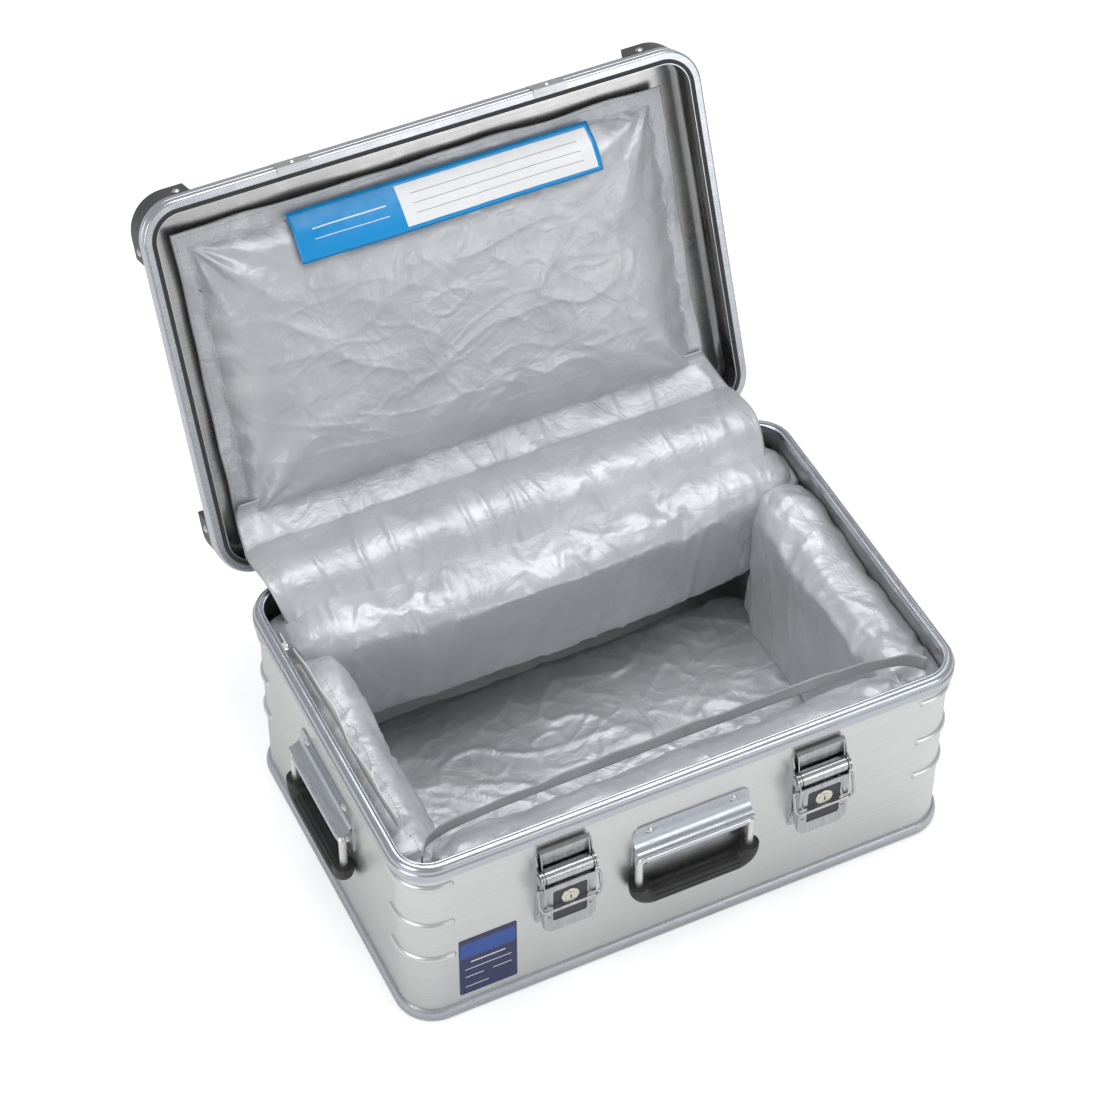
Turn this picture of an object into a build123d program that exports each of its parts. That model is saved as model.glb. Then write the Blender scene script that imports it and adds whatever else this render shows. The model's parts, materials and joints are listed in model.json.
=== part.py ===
from build123d import *
import os
from math import sin, cos, sqrt, radians

# Battery storage box: sheet aluminium case with a hinged lid, lever latches, drop handles and a padded liner.
# Millimetres. Origin at the centre of the underside, +X right along the front, +Y to the rear, +Z up.
# The lid is modelled shut and then turned open to its stop, which is its place at rest.

# Case
width = 600
depth = 400
body_height = 240
lid_height = 45
corner_radius = 40
sheet = 1.5
wall_inset = 5
open_angle = 113

# Clearances
slot_play = 0.1
seat_gap = 0.3
running_fit = 0.05
lid_gap = 1.3

# Frame profiles
rim_height = 17
rim_width = 12
skirt = 1.5
bead_drop = 7
base_rim_height = 17
base_slot_floor = 6
gasket_width = 4
gasket_height = 3.5

# Pressed beads round the upright corners
bead_radius = 5
bead_proud = 3
bead_run = 9
bead_levels = (97, 149, 207)

# Drop handles
handle_top = 183.5
handle_foot = 118
plate_width = 125
plate_sheet = 1.5
plate_corner = 10
hood_reach = 15.5
hood_start = 170
rod_radius = 4
rod_offset = 11
rod_height = 147
rod_span = 120
grip_radius = 10
grip_height = 90
grip_top = 105
grip_bend = 16
rod_bend = 5
bearing_length = 109
bearing_wall = 1.2
rod_tail = 28
groove_radius = 0.9
groove_length = 92

# Lever latches
latch_x = 137
latch_low = 97
latch_high = 205
latch_half = 29.5
base_sheet = 1.5
flange_height = 6
pin_offset = 10
pin_height = 176.5
pin_radius = 4
ear_radius = 8.5
barrel_radius = 8
barrel_half = 24
hook_sheet = 1.2
hook_top = 208
lever_sheet = 1.2
lever_half = 27.4
lever_face = 18
lever_low = 99
lever_top = 167.5
window_width = 36
window_low = 115
window_high = 160
lock_height = 146
lock_ring = 9.5
lock_body = 8
plug_radius = 5.5
bail_wire = 1.6
bail_half = 32.5
bail_offset = 14.5
bail_height = 163
bail_bar_offset = 21.2
bail_bar_height = 135.5
bail_bend = 9

# Rivets
rivet_head = 4.2
rivet_dome = 2.2

# Hinges
hinge_x = 170
hinge_width = 60
hinge_offset = 12
hinge_drop = 30
knuckle_radius = 5
hinge_pin = 2.5
leaf = 2.5
leaf_length = 60
knuckle_split = 12

# Lid fittings
catch_width = 36
catch_sheet = 0.8
stack_leg = 62
stack_wall = 4
stack_rise = 5
stack_ledge = 14

# Padded liner
pad_gap = 0.5
side_pad_thick = 58
side_pad_top = 222
rear_pad_thick = 86
rear_pad_low = 60
rear_pad_top = 236
front_pad_thick = 42
front_pad_top = 222
front_pad_half = 228
floor_pad_half = 228
floor_pad_edge = 16
floor_pad_crown = 40
pad_low = 18
lid_pad_margin = 22
lid_pad_thick = 36
hem_height = 15
tape_height = 14

# Label fields
front_label_width = 61
front_label_height = 86
lid_label_width = 330
lid_label_height = 46

# Levels worked out from the sizes above
wall_x = width / 2 - wall_inset
wall_y = depth / 2 - wall_inset
lid_low = body_height + lid_gap
lid_top = body_height + lid_height
hinge_y = depth / 2 + hinge_offset
hinge_z = body_height - hinge_drop
hinge_axis = Axis((0, hinge_y, hinge_z), (1, 0, 0))
slot_out = wall_inset - slot_play
slot_in = wall_inset + sheet + slot_play


def prism(inset, low, high):
    """Upright block with the case's rounded outline, drawn in by inset."""
    outline = RectangleRounded(width - 2 * inset, depth - 2 * inset, corner_radius - inset)
    return Pos(0, 0, low) * extrude(outline, high - low)


def frame_ring(section):
    """Carry a section drawn at the front edge round the case: four straights and four turned corners."""
    run_x = width / 2 - corner_radius
    run_y = depth / 2 - corner_radius
    front = extrude(section, run_x, both=True)
    side = Pos(width / 2 - depth / 2, 0, 0) * Rot(0, 0, 90) * extrude(section, run_y, both=True)
    turn = Axis((run_x, -run_y, 0), (0, 0, 1))
    corner = revolve(Pos(run_x, 0, 0) * section, turn, 90)
    half = front + corner + side + mirror(corner, Plane.XZ)
    return half + Rot(0, 0, 180) * half


def edge_section(edges):
    """Closed face of edges drawn in (distance in from the outer face, height)."""
    return Pos(0, -depth / 2, 0) * make_face(edges)


def at_edge(inward, height):
    """Point of a section at the front edge, on the upright plane through the middle."""
    return (0, inward, height)


def chain(points):
    """Straight edges through points of a section."""
    return Polyline(*[at_edge(u, v) for u, v in points]).edges()


def bow(start, middle, end):
    """One arc of a section."""
    return ThreePointArc(at_edge(*start), at_edge(*middle), at_edge(*end)).edges()


def top_rim():
    """Extruded frame that stiffens the mouth of the body, with two crests and a groove between them."""
    h = body_height
    crest = 6.2
    edges = chain([(0, h - rim_height), (0, h - 8), (1.2, h - 7)])
    edges += bow((1.2, h - 7), (2.6, h - 1.9), (crest, h))
    edges += chain([(crest, h), (crest + 1, h), (crest + 1.4, h - 1.8), (crest + 2.4, h - 1.8)])
    edges += bow((crest + 2.4, h - 1.8), (rim_width - 1.6, h - 0.3), (rim_width, h - 2.2))
    inner = slot_in + skirt
    edges += chain([
        (rim_width, h - 2.2), (rim_width, h - bead_drop), (inner, h - bead_drop - 1.5),
        (inner, h - rim_height), (slot_in, h - rim_height), (slot_in, h - bead_drop),
        (slot_out, h - bead_drop), (slot_out, h - rim_height), (0, h - rim_height)])
    return frame_ring(edge_section(edges))


def base_rim():
    """Rounded foot frame with a slot that takes the lower edge of the walls."""
    top = base_rim_height
    inner = slot_in + skirt
    edges = bow((3, 0), (0, top * 0.47), (2.6, top - 1.5))
    edges += chain([
        (2.6, top - 1.5), (slot_out, top), (slot_out, base_slot_floor), (slot_in, base_slot_floor),
        (slot_in, top), (inner, top), (inner, 0), (3, 0)])
    return frame_ring(edge_section(edges))


def floor_pan():
    """Floor tray with an upturned edge inside the foot frame."""
    outside = slot_in + skirt + slot_play
    tray = prism(outside, 0, 12)
    return tray - prism(outside + sheet, sheet, 12)


def corner_bead(level):
    """Pressed bead that runs round one upright corner, with tapered ends on the flat walls."""
    run_x = width / 2 - corner_radius
    run_y = depth / 2 - corner_radius
    radius = corner_radius - wall_inset - (bead_radius - bead_proud)
    taper = bead_radius * 0.7
    section = Pos(run_x, -run_y - radius, level) * (Plane.YZ * Circle(bead_radius))
    bend = revolve(section, Axis((run_x, -run_y, 0), (0, 0, 1)), 90)
    front = Pos(run_x - bead_run / 2, -run_y - radius, level) * Rot(0, 90, 0) * Cylinder(bead_radius, bead_run)
    front_end = Pos(run_x - bead_run - taper / 2, -run_y - radius, level) * Rot(0, -90, 0)
    front_end = front_end * Cone(bead_radius, bead_radius - taper, taper)
    side = Pos(run_x + radius, -run_y + bead_run / 2, level) * Rot(90, 0, 0) * Cylinder(bead_radius, bead_run)
    side_end = Pos(run_x + radius, -run_y + bead_run + taper / 2, level) * Rot(-90, 0, 0)
    side_end = side_end * Cone(bead_radius, bead_radius - taper, taper)
    return bend + front + front_end + side + side_end


def body_walls():
    """Wall band of one sheet with pressed beads at its corners, held in the slots of both frames."""
    low = base_slot_floor + slot_play
    high = body_height - bead_drop - slot_play
    outside = prism(wall_inset, low, high)
    for level in bead_levels:
        bead = corner_bead(level)
        pair = bead + mirror(bead, Plane.YZ)
        outside = outside + pair + mirror(pair, Plane.XZ)
    return outside - prism(wall_inset + sheet, low - 1, high + 1)


def lid_rim():
    """Frame of the lid's edge, with a channel for the gasket and a slot for the lid's walls."""
    low = lid_low
    top = low + rim_height
    channel_in = slot_in + skirt + 0.3
    channel_out = channel_in + gasket_width
    roof = low + gasket_height - 0.8
    inner = slot_in + skirt
    edges = bow((0, low + 2.4), (0.7, low + 0.7), (2.4, low))
    edges += chain([
        (2.4, low), (channel_in, low), (channel_in, roof), (channel_out, roof), (channel_out, low),
        (channel_out + 1.2, low), (channel_out + 1.2, roof + 1.4), (inner, roof + 1.4), (inner, top),
        (slot_in, top), (slot_in, roof + 1.8), (slot_out, roof + 1.8), (slot_out, top), (0, top),
        (0, low + 9), (0.7, low + 8.4), (0, low + 7.8), (0, low + 2.4)])
    return frame_ring(edge_section(edges))


def lid_gasket():
    """Rubber seal pressed into the channel of the lid's frame."""
    inset = slot_in + skirt + 0.3
    low = body_height + seat_gap
    roof = lid_low + gasket_height - 0.8
    return prism(inset, low, roof) - prism(inset + gasket_width, low - 1, roof + 1)


def lid_block(inset, top):
    """Outline of the lid with its rounded top edge, drawn in by inset."""
    low = lid_low + gasket_height + 1.1
    block = prism(inset, low, top)
    edges = block.faces().sort_by(Axis.Z)[-1].edges()
    return fillet(edges, 12 - (inset - wall_inset))


def lid_shell():
    """Deep-drawn lid panel with walls that stand in the slot of the lid's frame."""
    hollow = lid_block(wall_inset + sheet, lid_top - sheet)
    return lid_block(wall_inset, lid_top) - hollow


def stacking_corner(side_x, side_y):
    """Moulded corner piece of the lid, with a raised ledge that locates a case stacked on it."""
    low = lid_low + rim_height + seat_gap
    top = lid_top + stack_rise
    outside = prism(wall_inset - stack_wall, low, top)
    rim = outside.faces().sort_by(Axis.Z)[-1].edges()
    outside = fillet(rim, 2)
    cover = outside - lid_block(wall_inset, lid_top)
    cover = cover - prism(wall_inset + stack_ledge, lid_top - 1, top + 1)
    cut = Pos(width / 2 - stack_leg / 2, depth / 2 - stack_leg / 2, lid_top) * Box(stack_leg, stack_leg, 120)
    piece = (cover - prism(wall_inset, low - 1, lid_top - 12)) & cut
    if side_x < 0:
        piece = mirror(piece, Plane.YZ)
    if side_y < 0:
        piece = mirror(piece, Plane.XZ)
    return piece


def dome(position, direction, head=rivet_head, rise=rivet_dome):
    """Head of a dome rivet on a face, facing along direction."""
    ball = (head * head + rise * rise) / (2 * rise)
    plane = Plane(origin=position, z_dir=direction)
    cap = Pos(0, 0, rise - ball) * Sphere(ball)
    cap = cap & (Pos(0, 0, rise / 2) * Box(2 * head, 2 * head, rise))
    return plane * cap


def catch_plate(side):
    """Steel catch folded round the lower edge of the lid's frame, over a latch."""
    low = lid_low - catch_sheet
    front = -depth / 2
    face = Pos(0, front - catch_sheet / 2, (low + lid_low + rim_height) / 2)
    face = face * Box(catch_width, catch_sheet, lid_low + rim_height - low)
    fold = Pos(0, front - catch_sheet + 4, lid_low - catch_sheet / 2) * Box(catch_width, 8, catch_sheet)
    return Pos(side * latch_x, 0, 0) * (face + fold)


def hinge_x_spans(side):
    """Left, middle and right knuckle spans of one hinge, along X."""
    left = side * hinge_x - hinge_width / 2
    right = side * hinge_x + hinge_width / 2
    inner = side * hinge_x - knuckle_split
    outer = side * hinge_x + knuckle_split
    return (left, inner), (inner + seat_gap, outer - seat_gap), (outer, right)


def upright_section(points, low_x, high_x):
    """Solid between two X positions with a section given in (y, z)."""
    face = make_face(Polyline(*[(low_x, y, z) for y, z in points], close=True).edges())
    return extrude(face, high_x - low_x, dir=(1, 0, 0))


def knuckle(low_x, high_x, bore):
    """One knuckle of a hinge on its axis, with its bore."""
    place = Pos((low_x + high_x) / 2, hinge_y, hinge_z) * Rot(0, 90, 0)
    length = high_x - low_x
    return place * Cylinder(knuckle_radius, length), place * Cylinder(bore, length + 2)


def hinge_leaf_body(side):
    """Hinge leaf on the rear wall, with two knuckles carried out on bent arms."""
    spans = hinge_x_spans(side)
    foot = hinge_z + 5 - leaf_length
    plate = upright_section(
        [(wall_y, foot), (wall_y + leaf, foot), (wall_y + leaf, hinge_z + 5), (wall_y, hinge_z + 5)],
        spans[0][0], spans[2][1])
    corners = plate.edges().filter_by(Axis.Y).sort_by(Axis.Z)[:2]
    leaf_solid = fillet(corners, 6)
    arm = [(wall_y, hinge_z - 18), (wall_y, hinge_z - 6), (hinge_y - 1, hinge_z + 3), (hinge_y + 1, hinge_z - 4.5)]
    for low_x, high_x in (spans[0], spans[2]):
        ring, bore = knuckle(low_x, high_x, hinge_pin + running_fit)
        leaf_solid = leaf_solid + upright_section(arm, low_x, high_x) + ring - bore
    return leaf_solid


def hinge_leaf_lid(side):
    """Hinge leaf that runs up over the lid's frame, with the middle knuckle."""
    spans = hinge_x_spans(side)
    face = depth / 2 + 0.4
    top = lid_low + rim_height - 1
    low = hinge_z + 9
    plate = upright_section(
        [(face, low), (face + leaf, low), (face + leaf, top), (face, top)], spans[0][0], spans[2][1])
    corners = plate.edges().filter_by(Axis.Y).sort_by(Axis.Z)[2:]
    leaf_solid = fillet(corners, 4)
    middle = spans[1]
    arm = [(face, low), (face, low + 9), (hinge_y + 1, hinge_z + 4.5), (hinge_y - 3.5, hinge_z - 2.5)]
    ring, bore = knuckle(middle[0], middle[1], hinge_pin + running_fit)
    return leaf_solid + upright_section(arm, middle[0], middle[1]) + ring - bore


def hinge_pins():
    """The two hinge pins, with a head at each end."""
    pins = []
    for side in (-1, 1):
        place = Pos(side * hinge_x, hinge_y, hinge_z) * Rot(0, 90, 0)
        pin = place * Cylinder(hinge_pin, hinge_width + 2 * seat_gap)
        for end in (-1, 1):
            middle = side * hinge_x + end * (hinge_width / 2 + seat_gap + 0.75)
            pin = pin + Pos(middle, hinge_y, hinge_z) * Rot(0, 90, 0) * Cylinder(hinge_pin + 1.3, 1.5)
        pins.append(pin)
    return pins


def on_wall(wall):
    """Place of a fitting drawn on the front: local origin at the wall's face, -Y outwards."""
    if wall == "front":
        return Pos(0, -wall_y, 0)
    if wall == "right":
        return Pos(wall_x, 0, 0) * Rot(0, 0, 90)
    return Pos(-wall_x, 0, 0) * Rot(0, 0, -90)


def side_view(shape, half):
    """Solid of a sketch drawn in (outward distance, height), reaching half to each side."""
    upright = Plane(origin=(0, 0, 0), x_dir=(0, -1, 0), z_dir=(-1, 0, 0))
    return extrude(upright * shape, half, both=True)


def handle_plate():
    """Extruded handle plate: flat back, hood that curves out to a lip, and a round channel for the rod."""
    back = Pos(plate_sheet / 2, (handle_top + handle_foot) / 2) * Rectangle(plate_sheet, handle_top - handle_foot)
    hood = Pos(hood_reach, hood_start) * (Circle(hood_reach) - Circle(hood_reach - plate_sheet))
    quarter = Pos(hood_reach / 2, hood_start - hood_reach / 2) * Rectangle(hood_reach, hood_reach)
    wide = side_view(back + (hood & quarter), plate_width / 2)
    outline = Pos(0, 0, (handle_top + handle_foot) / 2) * Box(plate_width, 60, handle_top - handle_foot)
    outline = fillet(outline.edges().filter_by(Axis.Y), plate_corner)
    ring_radius = rod_radius + running_fit + bearing_wall
    web = Pos((plate_sheet + rod_offset) / 2, rod_height) * Rectangle(rod_offset - plate_sheet, 2)
    bearing = Pos(rod_offset, rod_height) * Circle(ring_radius) + web
    channel = side_view(bearing, bearing_length / 2)
    bore = side_view(Pos(rod_offset, rod_height) * Circle(rod_radius + running_fit), bearing_length)
    return (wide & outline) + channel - bore


def rod_path(span, low, tail):
    """Line of the bent rod: short tails in the bearing, two legs and the bar of the grip."""
    half = span / 2
    points = [(-tail, rod_height), (-half, rod_height), (-half, low), (half, low), (half, rod_height), (tail, rod_height)]
    corners = [(x, -rod_offset, z) for x, z in points]
    return FilletPolyline(*corners, radius=[rod_bend, grip_bend, grip_bend, rod_bend])


def handle_rod():
    """Round rod bent to a closed handle, its ends inside the bearing of the plate."""
    path = rod_path(rod_span, grip_height, rod_span / 2 - rod_tail)
    start = Plane(origin=path @ 0, z_dir=path % 0)
    return sweep(start * Circle(rod_radius), path)


def handle_grip():
    """Moulded grip over the rod's bar and its two bends, with grooves along the bar."""
    half = rod_span / 2
    points = [(-half, grip_top), (-half, grip_height), (half, grip_height), (half, grip_top)]
    leg = grip_top - grip_height
    bend = min(grip_bend, leg)
    corners = [(x, -rod_offset, z) for x, z in points]
    corners[0] = (-half, -rod_offset, grip_height + bend + leg / 3)
    corners[3] = (half, -rod_offset, grip_height + bend + leg / 3)
    path = FilletPolyline(*corners, radius=grip_bend)
    start = Plane(origin=path @ 0, z_dir=path % 0)
    grip = sweep(start * Circle(grip_radius), path) - sweep(start * Circle(rod_radius + running_fit), path)
    for angle in (-30, 0, 30, 60, 90):
        out = rod_offset + grip_radius * cos(radians(angle))
        height = grip_height + grip_radius * sin(radians(angle))
        groove = Pos(0, -out, height) * Rot(0, 90, 0) * Cylinder(groove_radius, groove_length)
        grip = grip - groove
    return grip


def handle_rivet_heads(wall):
    """Five rivet heads of a handle plate: two above the hood and three below the bearing."""
    upper = hood_start + rivet_head + seat_gap
    lower = handle_foot + 11
    spots = [(-45, upper), (45, upper), (-48, lower), (0, lower), (48, lower)]
    heads = []
    for x, z in spots:
        heads.append(on_wall(wall) * dome((x, -plate_sheet, z), (0, -1, 0)))
    return heads


def latch_base(side):
    """Channel riveted to the wall, with two ears that carry the latch's pin."""
    plate = Pos(0, -base_sheet / 2, (latch_low + latch_high) / 2)
    plate = plate * Box(2 * latch_half, base_sheet, latch_high - latch_low)
    corners = plate.edges().filter_by(Axis.Y)
    plate = fillet(corners, 4)
    slope = make_face(Polyline(
        (0, latch_low + 4), (flange_height, latch_low + 12), (flange_height, latch_high - 14), (1.5, latch_high - 3),
        (0, latch_high - 4), close=True).edges())
    ear = Pos(pin_offset, pin_height) * Circle(ear_radius)
    foot = Pos(pin_offset / 2, pin_height) * Rectangle(pin_offset, 2 * ear_radius)
    wing = side_view(slope + ear + foot, latch_half) - side_view(Rectangle(200, 900), latch_half - base_sheet)
    hole = side_view(Pos(pin_offset, pin_height) * Circle(pin_radius + running_fit), latch_half + 5)
    return latch_place(side) * (plate + wing - hole)


def latch_place(side):
    """Place of a latch on the front wall."""
    return Pos(side * latch_x, -wall_y, 0)


def latch_pin(side):
    """Polished barrel of the latch with its journals and their riveted heads."""
    centre = Pos(0, -pin_offset, pin_height) * Rot(0, 90, 0)
    pin = centre * Cylinder(barrel_radius, 2 * barrel_half)
    pin = pin + centre * Cylinder(pin_radius, 2 * latch_half + 0.4)
    for end in (-1, 1):
        head = Pos(end * (latch_half + 0.5), -pin_offset, pin_height) * Rot(0, 90, 0)
        pin = pin + head * Cylinder(pin_radius + 1.2, 0.8)
    return latch_place(side) * pin


def latch_hook(side):
    """Draw plate that stands over the barrel on two eyes, with a bent top edge."""
    inner = barrel_half + 0.4
    outer = inner + hook_sheet
    back = pin_offset - 7
    eye = Pos(pin_offset, pin_height) * Circle(6.8)
    strip = make_face(Polyline(
        (back, pin_height), (pin_offset, pin_height), (pin_offset - 2, hook_top - 14), (back + 2.4, hook_top),
        (back, hook_top), close=True).edges())
    cheeks = side_view(eye + strip, outer) - side_view(Rectangle(200, 900), inner)
    hole = side_view(Pos(pin_offset, pin_height) * Circle(pin_radius + running_fit), outer + 5)
    low = pin_height + barrel_radius + 2.5
    plate = Pos(0, -back - hook_sheet / 2, (low + hook_top) / 2) * Box(2 * outer, hook_sheet, hook_top - low)
    lip = Pos(0, -back - 2, hook_top - hook_sheet / 2) * Box(2 * outer, 4, hook_sheet)
    return latch_place(side) * (cheeks + plate + lip - hole)


def latch_lever(side):
    """Pressed lever: a face with a window and two cheeks that swing on the pin."""
    inner = lever_half - lever_sheet
    face = Pos(0, -lever_face + lever_sheet / 2, (lever_low + lever_top) / 2)
    face = face * Box(2 * lever_half, lever_sheet, lever_top - lever_low)
    face = chamfer(face.edges().filter_by(Axis.Y).sort_by(Axis.Z)[:2], 7)
    cheek = make_face(Polyline(
        (lever_face, lever_low + 8), (lever_face, lever_top), (pin_offset + 6, pin_height + 4),
        (pin_offset - 6, pin_height), (pin_offset - 5, lever_low + 24), (lever_face - 3, lever_low + 8),
        close=True).edges())
    eye = Pos(pin_offset, pin_height) * Circle(ear_radius - 0.2)
    cheeks = side_view(cheek + eye, lever_half) - side_view(Rectangle(200, 900), inner)
    hole = side_view(Pos(pin_offset, pin_height) * Circle(pin_radius + running_fit), lever_half + 5)
    eyelet = side_view(Pos(bail_offset, bail_height) * Circle(bail_wire + running_fit), lever_half + 5)
    window = Pos(0, -lever_face, (window_low + window_high) / 2)
    window = window * Box(window_width, 10, window_high - window_low)
    window = fillet(window.edges().filter_by(Axis.Y), 2.5)
    lever = face + cheeks - hole - eyelet - window
    for end in (-1, 1):
        flute = Pos(end * (window_width / 2 + 4), -lever_face - 4.4, (window_high + window_low) / 2 + 3)
        lever = lever - flute * Cylinder(5, window_high - window_low - 8)
    return latch_place(side) * lever


def latch_insert(side):
    """Moulded insert seated behind the lever's face and filling its window."""
    middle = (window_low + window_high) / 2
    tall = window_high - window_low
    play = 2 * slot_play
    front = Pos(0, -lever_face + 2.6, middle) * Box(window_width - play, 4, tall - play)
    front = fillet(front.edges().filter_by(Axis.Y), 2.4)
    back = Pos(0, -lever_face + lever_sheet + 1.7, middle) * Box(window_width + 4, 3.4, tall + 4)
    hole = Pos(0, -lever_face, lock_height) * Rot(90, 0, 0) * Cylinder(lock_body + running_fit, 20)
    return latch_place(side) * (front + back - hole)


def lock_barrel(side):
    """Fixed body of the lock with its rounded front ring."""
    front = lever_face + 1.2
    body = Pos(0, -(front - 6), lock_height) * Rot(90, 0, 0) * Cylinder(lock_body, 12)
    ring = Pos(0, -(front - 0.9), lock_height) * Rot(90, 0, 0) * Cylinder(lock_ring, 1.8)
    ring = fillet(ring.edges().sort_by(Axis.Y)[0], 1.2)
    bore = Pos(0, -front, lock_height) * Rot(90, 0, 0) * Cylinder(plug_radius + running_fit, 40)
    return latch_place(side) * (body + ring - bore)


def lock_plug(side):
    """Turning plug of the lock with its keyway."""
    front = lever_face + 1.6
    plug = Pos(0, -(front - 6), lock_height) * Rot(90, 0, 0) * Cylinder(plug_radius, 12)
    keyway = Pos(0, -front, lock_height - 0.5) * Box(1.4, 8, 6)
    return latch_place(side) * (plug - keyway)


def latch_bail(side):
    """Wire bail hooked through the lever's cheeks, hanging in front of its face."""
    tail = lever_half - 3
    points = [
        (-tail, bail_offset, bail_height), (-bail_half, bail_offset, bail_height),
        (-bail_half, bail_bar_offset, bail_bar_height), (bail_half, bail_bar_offset, bail_bar_height),
        (bail_half, bail_offset, bail_height), (tail, bail_offset, bail_height)]
    bend = 2.2 * bail_wire
    path = FilletPolyline(*[(x, -d, z) for x, d, z in points], radius=[bend, bail_bend, bail_bend, bend])
    start = Plane(origin=path @ 0, z_dir=path % 0)
    return latch_place(side) * sweep(start * Circle(bail_wire), path)


def body_rivets():
    """All rivet heads of the body: handle plates, latch bases and hinge leaves."""
    heads = []
    for wall in ("front", "left", "right"):
        heads += handle_rivet_heads(wall)
    for side in (-1, 1):
        for z in (latch_low + 22, latch_low + 46):
            for x in (-15, 15):
                spot = (side * latch_x + x, -wall_y - base_sheet, z)
                heads.append(dome(spot, (0, -1, 0), 3.4, 1.4))
        for z in (hinge_z - leaf_length + 15, hinge_z - 28):
            for x in (-20, 20):
                heads.append(dome((side * hinge_x + x, wall_y + leaf, z), (0, 1, 0)))
    return heads


def lid_rivets():
    """All rivet heads of the lid: stacking corners, catches and hinge leaves."""
    heads = []
    level = lid_low + rim_height + 12
    out_x = wall_x + stack_wall
    out_y = wall_y + stack_wall
    near = stack_leg - 12
    for side_x in (-1, 1):
        for side_y in (-1, 1):
            x = side_x * (width / 2 - near)
            y = side_y * (depth / 2 - near)
            heads.append(dome((x, side_y * out_y, level), (0, side_y, 0)))
            heads.append(dome((side_x * out_x, y, level), (side_x, 0, 0)))
    for side in (-1, 1):
        middle = lid_low + rim_height / 2
        heads.append(dome((side * latch_x, -depth / 2 - catch_sheet, middle), (0, -1, 0)))
        for x in (-20, 20):
            heads.append(dome((side * hinge_x + x, depth / 2 + 0.4 + leaf, middle), (0, 1, 0)))
    return heads


def wall_curve(position, half):
    """How far the rounded corner of the inner wall stands in at a position along a wall."""
    beyond = max(0, abs(position) - (half - corner_radius))
    radius = corner_radius - wall_inset - sheet
    beyond = min(beyond, radius - 1)
    return radius - sqrt(radius * radius - beyond * beyond)


def pad_section(position, back, thick, low, high, shoulder):
    """D-shaped face of a pad on a wall: flat back, short shoulders and a bowed front, clear of the top rim."""
    middle = (low + high) / 2
    under_rim = min(high - 1, body_height - rim_height - pad_gap)
    step = rim_width - wall_inset - sheet if high > body_height - rim_height else 0
    base = [(back + shoulder, low), (back, low), (back, under_rim), (back + step, under_rim + 0.5),
            (back + step, high), (back + shoulder, high)]
    edges = Polyline(*[(position, u, z) for u, z in base]).edges()
    front = ThreePointArc((position, back + shoulder, high), (position, back + thick, middle),
                          (position, back + shoulder, low))
    return make_face(edges + front.edges())


def wall_pad(start, stop, half, thick, ends, low, high, shoulder):
    """Padded roll along the inside of the front wall, thick in the middle and drawn in towards its ends."""
    steps = 8
    inner = -depth / 2 + wall_inset + sheet + pad_gap
    sections = []
    for step in range(steps + 1):
        share = step / steps
        swell = 1 - abs(2 * share - 1) ** 3
        end = ends[0] * (1 - share) + ends[1] * share
        position = start + (stop - start) * share
        back = inner + wall_curve(position, half)
        depth_here = end + (thick - end) * swell
        edge_here = min(shoulder, 0.6 * end) + (shoulder - min(shoulder, 0.6 * end)) * swell
        drop = 6 * (1 - swell)
        sections.append(pad_section(position, back, depth_here, low + drop / 2, high - drop, edge_here))
    return loft(sections, ruled=True)


def front_pillow():
    """Pad inside the front wall with a broad top that the hem stands on."""
    half = width / 2
    return wall_pad(-front_pad_half, front_pad_half, half, front_pad_thick, (26, 26), pad_low, front_pad_top, 30)


def rear_pillow():
    """Thick roll along the rear wall."""
    reach = width / 2 - 16
    pad = wall_pad(-reach, reach, width / 2, rear_pad_thick, (26, 26), rear_pad_low, rear_pad_top, 14)
    return Rot(0, 0, 180) * pad


def right_pillow():
    """Pad inside the right wall, thin towards the rear roll."""
    pad = wall_pad(-depth / 2 + 13, depth * 0.3, depth / 2, side_pad_thick, (20, 14), pad_low, side_pad_top, 8)
    return Pos(width / 2 - depth / 2, 0, 0) * Rot(0, 0, 90) * pad


def left_pillow():
    """Pad inside the left wall, opposite to the right one."""
    return mirror(right_pillow(), Plane.YZ)


def flat_pad(half_x, low_y, high_y, back, edge, crown):
    """Flat-backed cushion: side walls of height edge and a crowned face, both drawn in at the ends."""
    steps = 8
    sections = []
    for step in range(steps + 1):
        share = 2 * step / steps - 1
        swell = 1 - abs(share) ** 3
        trim = 4 * (1 - swell)
        here = edge * 0.6 + edge * 0.4 * swell
        top = here + (crown - edge) * swell + 0.5 * edge * 0.1
        x = half_x * share
        y0 = low_y + trim
        y1 = high_y - trim
        base = [(y0, back + here), (y0, back), (y1, back), (y1, back + here)]
        edges = Polyline(*[(x, y, z) for y, z in base]).edges()
        face = ThreePointArc((x, y1, back + here), (x, (y0 + y1) / 2, back + top), (x, y0, back + here))
        sections.append(make_face(edges + face.edges()))
    return loft(sections, ruled=True)


def floor_pad():
    """Cushion on the floor of the case, where the battery stands."""
    low_y = -wall_y + sheet + pad_gap + front_pad_thick + 8
    high_y = wall_y - sheet - pad_gap - 8
    return flat_pad(floor_pad_half, low_y, high_y, sheet + seat_gap, floor_pad_edge, floor_pad_crown)


def lid_pillow():
    """Cushion that fills the lid and presses down on what the case holds."""
    half_x = wall_x - sheet - lid_pad_margin
    half_y = wall_y - sheet - lid_pad_margin
    pad = flat_pad(half_x, -half_y, half_y, 0, lid_pad_thick * 0.45, lid_pad_thick)
    return Pos(0, 0, lid_top - sheet - seat_gap) * Rot(180, 0, 0) * pad


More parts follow.
